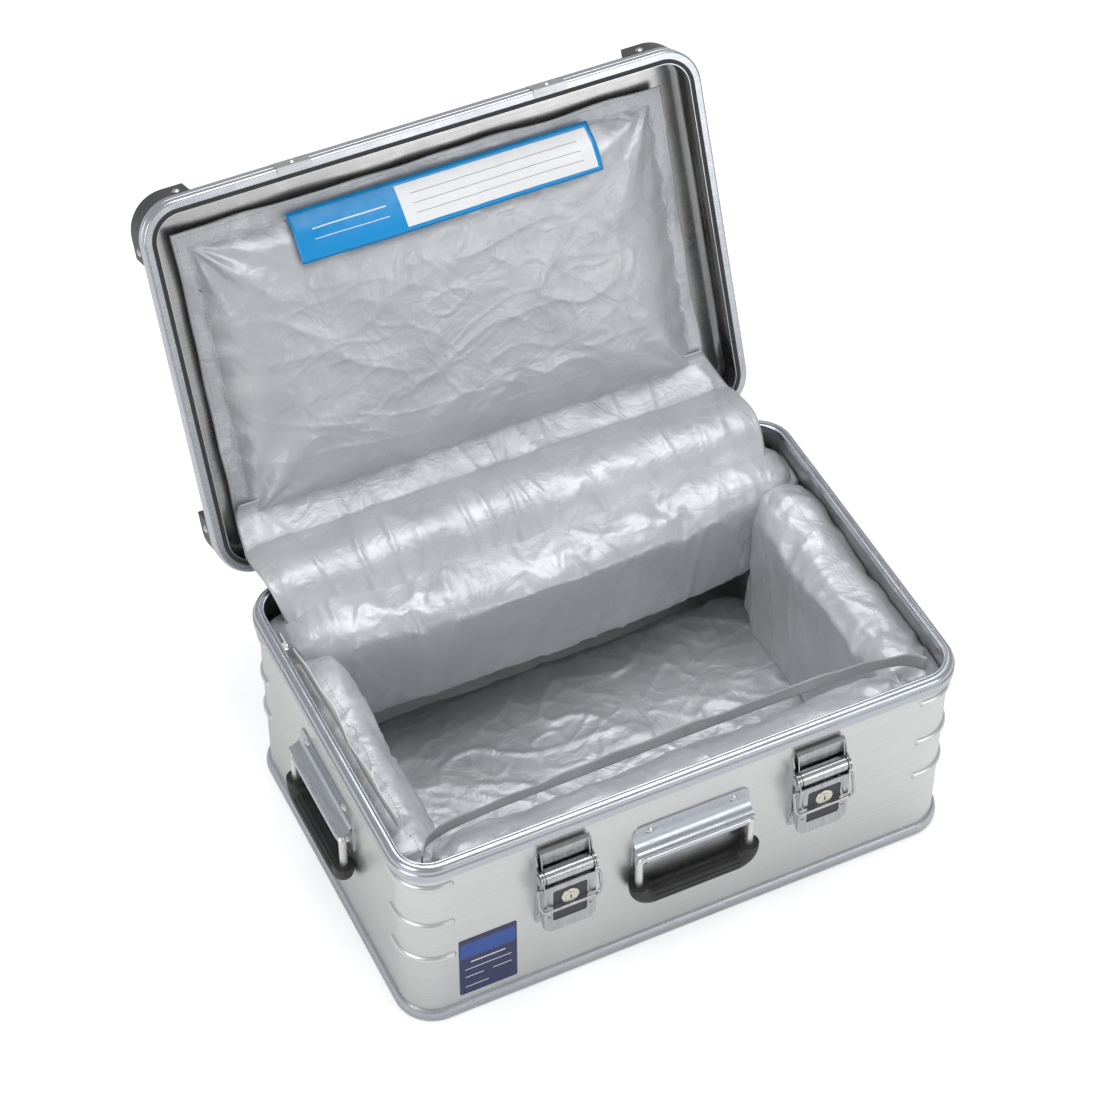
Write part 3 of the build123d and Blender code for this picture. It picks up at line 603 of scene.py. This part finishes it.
REAR = cushion("rear_pillow", "rear_cushion",
               ((0, 0.151, 0.160), (0.288, 0.036, 0.072), 5.0, rear_form), 0.010, 0.006, 0.0024, 7.0, (1.6, 1, 0.55))
LEFT = cushion("left_pillow", "left_cushion",
               ((-0.263, -0.030, 0.122), (0.022, 0.156, 0.100), 7.0, side_form(-1)), 0.009, 0.006, 0.0024, 11.0,
               (1, 1.5, 0.6))
RIGHT = cushion("right_pillow", "right_cushion",
                ((0.262, -0.030, 0.123), (0.026, 0.156, 0.101), 7.0, side_form(1)), 0.010, 0.006, 0.0024, 13.0,
                (1, 1.5, 0.6))
FLOOR = cushion("floor_pad", "floor_cushion",
                ((0, 0.004, 0.021), (0.256, 0.156, 0.015), 8.0), 0.008, 0.006, 0.0030, 3.0, (1.0, 1.4, 1))
FRONT = cushion("front_pillow", "front_cushion",
                ((0, -0.166, 0.121), (0.268, 0.024, 0.105), 6.0, front_form), 0.008, 0.006, 0.0026, 17.0,
                (1.3, 1, 0.7))

# %% [markdown]
# ## The lid's cushion
# It is a flat cover of two sheets sewn together all round, with a wide flat hem outside the filled part. It is
# built as a grid in the shut lid: height follows a crown that falls quickly to the hem, with folds that run in
# from the corners.

# %% Lid cushion
LID_HALF_U = HALF_X - 34 * MM
LID_HALF_V = HALF_Y - 36 * MM
LID_SHIFT = 7 * MM
LID_HEM = 17 * MM
LID_BACK_Z = 283.2 * MM
LID_CROWN = 36 * MM
LID_EDGE_LIFT = 12 * MM


def lid_crown(u, v, seed):
    """Height of the cover's face over the hem at (u, v), with puckers along the seams and corner folds."""
    inner_u = LID_HALF_U - LID_HEM
    inner_v = LID_HALF_V - LID_HEM
    gap = min(inner_u - abs(u), inner_v - abs(v))
    if gap <= 0:
        return 0.0
    rise = 1 - (1 - min(gap / 0.075, 1.0)) ** 2.4
    broad = 0.84 + 0.16 * (1 - (u / inner_u) ** 2) * (1 - (v / inner_v) ** 2)
    near_side = inner_v - abs(v) > inner_u - abs(u)
    along = v if near_side else u
    pucker = math.sin(along * 150 + 4 * noise.noise(Vector((along * 16, seed, 0.3))))
    pucker *= math.exp(-gap / 0.02) * 1.5 * MM
    reach = math.hypot(inner_u - abs(u), inner_v - abs(v))
    angle = math.atan2(inner_v - abs(v), inner_u - abs(u))
    rays = math.sin(angle * 11 + 6 * noise.noise(Vector((u * 5, v * 5, seed))))
    corner = rays * 4.5 * MM * math.exp(-reach / 0.08) * min(gap / 0.02, 1.0)
    point = Vector((u * 0.9, v * 1.5, 0))
    drift = 4 * MM * noise.noise(Vector((u * 6, v * 8, seed)))
    ridges = 1.5 * MM * fold(point, 9.0, seed, 6) + 0.7 * MM * fold(point, 24.0, seed + 3, 5)
    lower = max(0.0, v / inner_v) ** 3 * 3.5 * MM * fold(Vector((u * 0.5, v * 3.2, 0)), 12.0, seed + 9, 4)
    return LID_CROWN * rise * broad + pucker + corner + (drift + ridges + lower) * rise


def lid_edge(u, v):
    """Waviness of the flat hem: it curls more towards its outer edge and at the corners."""
    edge = min(LID_HALF_U - abs(u), LID_HALF_V - abs(v))
    curl = 6 * MM * noise.noise(Vector((u * 13, v * 13, 4.0)))
    return curl * math.exp(-edge / 0.016)


def lid_cushion():
    """Cover of the lid: crowned face, flat hem all round and a closed back."""
    count_u, count_v = ((250, 165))
    verts = []
    for side in (0, 1):
        for j in range(count_v + 1):
            for i in range(count_u + 1):
                u = -LID_HALF_U + 2 * LID_HALF_U * i / count_u
                v = -LID_HALF_V + 2 * LID_HALF_V * j / count_v
                ragged = 2.2 * MM * noise.noise(Vector((u * 17, v * 17, 9.0)))
                shift = Vector((math.copysign(1, u), math.copysign(1, v))) * ragged
                rim_u = abs(u) > LID_HALF_U - LID_HEM
                rim_v = abs(v) > LID_HALF_V - LID_HEM
                u_out = u + shift.x * rim_u
                v_out = v + shift.y * rim_v
                lift = LID_EDGE_LIFT + lid_edge(u, v)
                inner = min(LID_HALF_U - abs(u), LID_HALF_V - abs(v)) - LID_HEM
                if side == 0:
                    z = LID_BACK_Z - lift - lid_crown(u, v, 2.0)
                else:
                    z = LID_BACK_Z - lift + 1.2 * MM + max(0.0, min(lift - 2 * MM, inner * 0.6))
                verts.append(lid_place(u_out, v_out + LID_SHIFT, z))
    obj = new_piece("lid_cushion", verts, closed_grid(count_u, count_v), LINER, "lid")
    outward(obj)
    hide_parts("lid_pillow")
    print("lid_cushion", len(obj.data.polygons), "faces")
    return obj


LID_CUSHION = lid_cushion()

# %% [markdown]
# ## The field on the lid's cushion
# It is a thin patch that follows the same crown, a little above the cloth, with its own UV map for the fields.

# %% Lid field
FIELD_U = (-0.150, 0.178)
FIELD_V = (-0.153, -0.107)


def lid_field():
    """Coloured patch over the cushion, near the lid's front edge."""
    count_u, count_v = 90, 14
    reach_u, reach_v = 12 * MM, 10 * MM
    verts, uvs = [], []
    for lift in (2.4 * MM, 1.0 * MM):
        for j in range(count_v + 1):
            for i in range(count_u + 1):
                u = FIELD_U[0] + (FIELD_U[1] - FIELD_U[0]) * i / count_u
                v = FIELD_V[0] + (FIELD_V[1] - FIELD_V[0]) * j / count_v
                around = [lid_crown(u + du, v + dv, 2.0) for du in (-reach_u, 0, reach_u)
                          for dv in (-reach_v, 0, reach_v)]
                verts.append(lid_place(u, v + LID_SHIFT, LID_BACK_Z - LID_EDGE_LIFT - max(around) - lift))
                uvs.append((i / count_u, 1 - j / count_v))
    white = (0.8, 0.81, 0.82)
    rule = (0.3, 0.32, 0.35)
    material = painted_field("lid field", BLUE, [
        ((0.345, 0.985, 0.1, 0.9), white), ((0.385, 0.945, 0.69, 0.705), rule), ((0.385, 0.945, 0.5, 0.515), rule),
        ((0.385, 0.945, 0.31, 0.325), rule), ((0.06, 0.3, 0.6, 0.625), PALE), ((0.06, 0.3, 0.4, 0.415), PALE)])
    obj = new_piece("lid_field", verts, closed_grid(count_u, count_v), material, "lid")
    layer = obj.data.uv_layers.new(name="field")
    for loop in obj.data.loops:
        layer.data[loop.index].uv = uvs[loop.vertex_index]
    outward(obj)
    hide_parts("lid_label")
    return obj


lid_field()

# %% [markdown]
# ## Ribbons and the gusset
# The front hem and the zip tape stand on edge along the mouth, and a strip of cloth crosses the hinge from the
# rear roll to the lid's cushion. That strip is made once in its open shape and rides on no body.

# %% Ribbons on edge
def ribbon(name, points, height, thick, material, wave, seed, count=220, levels=6):
    """A thin strip that stands on edge along a curve through points, with a wavy free edge."""
    verts = []
    centre = [through(points, i / count) for i in range(count + 1)]
    for side in (-0.5, 0.5):
        for j in range(levels + 1):
            rise = j / levels
            for i, place in enumerate(centre):
                ahead = (centre[min(i + 1, count)] - centre[max(i - 1, 0)]).normalized()
                across = Vector((ahead.y, -ahead.x, 0))
                sway = wave * rise * noise.noise(Vector((place.x * 22, place.y * 22, seed)))
                droop = 1 + 0.18 * noise.noise(Vector((place.x * 15, place.y * 15, seed + 4)))
                round_edge = thick * (side if rise < 1 else side * 0.5)
                verts.append(place + across * (round_edge + sway) + Vector((0, 0, height * rise * droop)))
    obj = new_piece(name, verts, closed_grid(count, levels), material, "case")
    outward(obj)
    return obj


HEM_PATH = [(-0.272, -0.176, 0.2235), (-0.255, -0.155, 0.2235), (-0.20, -0.1455, 0.2225), (-0.08, -0.1430, 0.2225),
            (0.06, -0.1425, 0.2225), (0.18, -0.1445, 0.2225), (0.245, -0.1530, 0.2235), (0.268, -0.170, 0.2235)]
HEM = ribbon("hem_band", HEM_PATH, 15 * MM, 1.6 * MM, FINISHES["hem_fabric"], 7 * MM, 3.0)
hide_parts("front_hem")

TAPE_PATH = [(-0.2740, -0.125, 0.2250), (-0.2765, -0.06, 0.2255), (-0.2755, 0.02, 0.2255), (-0.2770, 0.085, 0.2250),
             (-0.2775, 0.112, 0.2235)]
TAPE = ribbon("zip_band", TAPE_PATH, 13 * MM, 1.4 * MM, FINISHES["tape_fabric"], 4 * MM, 8.0, 120)
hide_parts("zip_tape")


# %% Gusset across the hinge
GUSSET_HALF = 0.262


def gusset():
    """Cloth from the rear roll over both rims to the lid's cushion."""
    lid_end = lid_place(0, LID_HALF_V - 7 * MM, LID_BACK_Z - LID_EDGE_LIFT - 3 * MM)
    lid_mouth = lid_place(0, RIM_INNER_Y, MOUTH + 1.5 * MM)
    section = [(0, 0.146, 0.200), (0, 0.158, 0.222), (0, 0.180, 0.2425), (0, 0.205, 0.2485),
               (0, lid_mouth.y - 8 * MM, lid_mouth.z + 15 * MM), (0, lid_mouth.y + 4 * MM, lid_mouth.z + 13 * MM),
               (0, lid_end.y + 1 * MM, lid_end.z + 9 * MM), (0, lid_end.y + 5 * MM, lid_end.z + 22 * MM)]
    count_u, count_v = ((220, 40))
    verts = []
    for side in (1, -1):
        for j in range(count_v + 1):
            base = through(section, j / count_v)
            ahead = (through(section, min(1, (j + 1) / count_v)) - through(section, max(0, (j - 1) / count_v)))
            normal = Vector((0, -ahead.z, ahead.y)).normalized()
            middle = math.sin(math.pi * j / count_v)
            for i in range(count_u + 1):
                u = -1 + 2 * i / count_u
                x = u * (GUSSET_HALF + 14 * MM * middle)
                puff = 2.2 * MM * noise.noise(Vector((x * 20, j * 0.12, 3.0)))
                puff += 2.6 * MM * fold(Vector((x * 2.2, base.y * 0.7, 1.0)), 13.0, 21.0, 4)
                lip = -3 * MM * max(0.0, abs(u) - 0.94) / 0.06 * middle
                verts.append(Vector((x, base.y, base.z)) + normal * (puff * middle + lip + side * 0.6 * MM))
    obj = new_piece("gusset", verts, closed_grid(count_u, count_v), LINER, None)
    outward(obj)
    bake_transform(obj)
    return obj


GUSSET = gusset()

# %% [markdown]
# ## Seams
# A seam is a row of short stitches. A Geometry Nodes group sets them along a curve, and the result is made a
# plain mesh. The curve is first laid on the cushion's surface.

# %% Stitches by Geometry Nodes
def stitch_group():
    """Geometry group that sets stitches along the incoming curve."""
    group = bpy.data.node_groups.new("stitch row", "GeometryNodeTree")
    group.interface.new_socket("Geometry", in_out="INPUT", socket_type="NodeSocketGeometry")
    for label, value in (("Spacing", 4.2 * MM), ("Length", 2.9 * MM), ("Thickness", 0.75 * MM)):
        socket = group.interface.new_socket(label, in_out="INPUT", socket_type="NodeSocketFloat")
        socket.default_value = value
    group.interface.new_socket("Thread", in_out="INPUT", socket_type="NodeSocketMaterial")
    group.interface.new_socket("Geometry", in_out="OUTPUT", socket_type="NodeSocketGeometry")
    given, out = add(group, "NodeGroupInput"), add(group, "NodeGroupOutput")
    spots = add(group, "GeometryNodeCurveToPoints", mode="LENGTH")
    wire(group, given.outputs["Geometry"], spots.inputs["Curve"])
    wire(group, given.outputs["Spacing"], spots.inputs["Length"])
    bead = add(group, "GeometryNodeMeshUVSphere")
    bead.inputs["Segments"].default_value = 6
    bead.inputs["Rings"].default_value = 4
    bead.inputs["Radius"].default_value = 0.5
    size = add(group, "ShaderNodeCombineXYZ")
    wire(group, given.outputs["Thickness"], size.inputs[0])
    wire(group, given.outputs["Thickness"], size.inputs[1])
    wire(group, given.outputs["Length"], size.inputs[2])
    place = add(group, "GeometryNodeInstanceOnPoints")
    wire(group, spots.outputs["Points"], place.inputs["Points"])
    wire(group, bead.outputs["Mesh"], place.inputs["Instance"])
    wire(group, size.outputs[0], place.inputs["Scale"])
    turn = add(group, "FunctionNodeAlignRotationToVector", axis="Z")
    wire(group, spots.outputs["Tangent"], turn.inputs["Vector"])
    wire(group, turn.outputs["Rotation"], place.inputs["Rotation"])
    real = add(group, "GeometryNodeRealizeInstances")
    wire(group, place.outputs["Instances"], real.inputs["Geometry"])
    paint = add(group, "GeometryNodeSetMaterial")
    wire(group, real.outputs["Geometry"], paint.inputs["Geometry"])
    wire(group, given.outputs["Thread"], paint.inputs["Material"])
    wire(group, paint.outputs["Geometry"], out.inputs["Geometry"])
    return group


STITCHES = stitch_group()


def seam(name, base, points, body, closed=False, lift=0.35 * MM):
    """Row of stitches along points laid on the surface of base."""
    tree = BVHTree.FromObject(base, bpy.context.evaluated_depsgraph_get())
    curve = bpy.data.curves.new(name, "CURVE")
    curve.dimensions = "3D"
    spline = curve.splines.new("POLY")
    spline.points.add(len(points) - 1)
    spline.use_cyclic_u = closed
    for index, point in enumerate(points):
        place, normal, _, _ = tree.find_nearest(Vector(point))
        spline.points[index].co = (*(place + normal * lift), 1)
    holder = bpy.data.objects.new(name + "_line", curve)
    bpy.context.scene.collection.objects.link(holder)
    modifier = holder.modifiers.new("stitches", "NODES")
    modifier.node_group = STITCHES
    for item in STITCHES.interface.items_tree:
        if item.item_type == "SOCKET" and item.in_out == "INPUT" and item.name == "Thread":
            modifier[item.identifier] = THREAD
    graph = bpy.context.evaluated_depsgraph_get()
    graph.update()
    mesh = bpy.data.meshes.new_from_object(holder.evaluated_get(graph))
    mesh.name = name
    obj = bpy.data.objects.new(name, mesh)
    bpy.context.scene.collection.objects.link(obj)
    bpy.data.objects.remove(holder)
    smooth(obj)
    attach(obj, body)
    print(name, len(mesh.polygons), "faces")
    return obj


def lid_hem_loop(inset):
    """Points round the lid cushion's hem, in the open lid, a little in front of its face."""
    half_u, half_v = LID_HALF_U - inset, LID_HALF_V - inset
    corners = [(-half_u, -half_v), (half_u, -half_v), (half_u, half_v), (-half_u, half_v)]
    points = []
    for (u0, v0), (u1, v1) in zip(corners, corners[1:] + corners[:1]):
        count = int(math.hypot(u1 - u0, v1 - v0) / (4 * MM))
        for step in range(count):
            t = step / count
            u, v = u0 + (u1 - u0) * t, v0 + (v1 - v0) * t
            points.append(lid_place(u, v + LID_SHIFT, LID_BACK_Z - LID_EDGE_LIFT - 6 * MM))
    return points


seam("lid_inner_seam", LID_CUSHION, lid_hem_loop(LID_HEM - 2 * MM), "lid", closed=True)
seam("lid_outer_seam", LID_CUSHION, lid_hem_loop(4.5 * MM), "lid", closed=True)
seam("right_seam", RIGHT, [(0.262, -0.165 + 0.262 * t / 60, 0.235) for t in range(61)], "case")
seam("left_seam", LEFT, [(-0.262, -0.165 + 0.262 * t / 60, 0.235) for t in range(61)], "case")

# %% [markdown]
# ## Camera
# The camera was fitted to the straight edges in the photograph: it looks down by 46.9 degrees from the left
# front. The lens follows from the focal length in pixels on a frame 1100 pixels wide.

# %% Camera at the photograph's angle
AZIMUTH = math.radians(25.7)
ELEVATION = math.radians(46.9)
FRAME_PIXELS = 1100
FOCAL_PIXELS = 3300
CAMERA_OFFSET = Vector((50.3, 242.5, 3402.4)) * MM


def make_camera():
    """Level camera that sees the origin at CAMERA_OFFSET in its own axes (right, down, ahead)."""
    toward = Vector((-math.sin(AZIMUTH) * math.cos(ELEVATION), -math.cos(AZIMUTH) * math.cos(ELEVATION),
                     math.sin(ELEVATION)))
    right = Vector((math.cos(AZIMUTH), -math.sin(AZIMUTH), 0))
    up = toward.cross(right)
    data = bpy.data.cameras.new("camera")
    data.sensor_width = 36
    data.lens = 36 * FOCAL_PIXELS / FRAME_PIXELS
    data.clip_end = 50
    camera = bpy.data.objects.new("camera", data)
    bpy.context.scene.collection.objects.link(camera)
    place = toward * CAMERA_OFFSET.z + up * CAMERA_OFFSET.y - right * CAMERA_OFFSET.x
    turn = Matrix((right, up, toward)).transposed()
    camera.matrix_world = Matrix.Translation(place) @ turn.to_4x4()
    bpy.context.scene.camera = camera
    return camera


make_camera()

# %% [markdown]
# ## Floor and light
# A plain pale floor catches the shadow. Wide lamps light the metal softly, and the world shows white to the
# camera, without adding that white to the light on the object.

# %% Floor, world and lamps
def make_floor():
    """Wide pale floor that glows a little, so that it stays white round the shadow."""
    material, tree, shader = blank("pale floor")
    shader.inputs["Base Color"].default_value = (0.95, 0.95, 0.95, 1)
    shader.inputs["Roughness"].default_value = 0.9
    glow = add(tree, "ShaderNodeEmission")
    glow.inputs["Strength"].default_value = 0.4
    path = add(tree, "ShaderNodeLightPath")
    wire(tree, path.outputs["Is Camera Ray"], glow.inputs["Color"])
    total = add(tree, "ShaderNodeAddShader")
    wire(tree, shader.outputs[0], total.inputs[0])
    wire(tree, glow.outputs[0], total.inputs[1])
    wire(tree, total.outputs[0], tree.nodes["Material Output"].inputs["Surface"])
    size, below = 12, -0.5 * MM
    corners = [(-size, -size, below), (size, -size, below), (size, size, below), (-size, size, below)]
    new_piece("floor", corners, [(0, 1, 2, 3)], material)


def make_world():
    """Even pale world that looks white to the camera."""
    world = bpy.data.worlds.new("studio")
    bpy.context.scene.world = world
    world.use_nodes = True
    tree = world.node_tree
    tree.nodes.clear()
    plain = add(tree, "ShaderNodeBackground")
    plain.inputs["Color"].default_value = (0.96, 0.98, 1.0, 1)
    plain.inputs["Strength"].default_value = 0.5
    bright = add(tree, "ShaderNodeBackground")
    bright.inputs["Strength"].default_value = 1.0
    out = add(tree, "ShaderNodeOutputWorld")
    path = add(tree, "ShaderNodeLightPath")
    mixing = add(tree, "ShaderNodeMixShader")
    wire(tree, path.outputs["Is Camera Ray"], mixing.inputs[0])
    wire(tree, plain.outputs[0], mixing.inputs[1])
    wire(tree, bright.outputs[0], mixing.inputs[2])
    wire(tree, mixing.outputs[0], out.inputs["Surface"])


def make_lamp(name, place, size, power):
    """Square area lamp that faces the middle of the object."""
    data = bpy.data.lights.new(name, "AREA")
    data.shape = "SQUARE"
    data.size = size
    data.energy = power
    lamp = bpy.data.objects.new(name, data)
    bpy.context.scene.collection.objects.link(lamp)
    lamp.location = place
    lamp.rotation_euler = (Vector((0, 0.1, 0.2)) - Vector(place)).to_track_quat("-Z", "Y").to_euler()


make_floor()
make_world()
make_lamp("top lamp", (0.5, 0.5, 2.6), 1.8, 34)
make_lamp("left lamp", (-2.6, -1.0, 1.7), 1.6, 24)
make_lamp("front lamp", (1.4, -2.8, 1.3), 1.6, 16)

# %% [markdown]
# The view transform stays Standard.

# %% Finish
bpy.context.scene.view_settings.view_transform = "Standard"
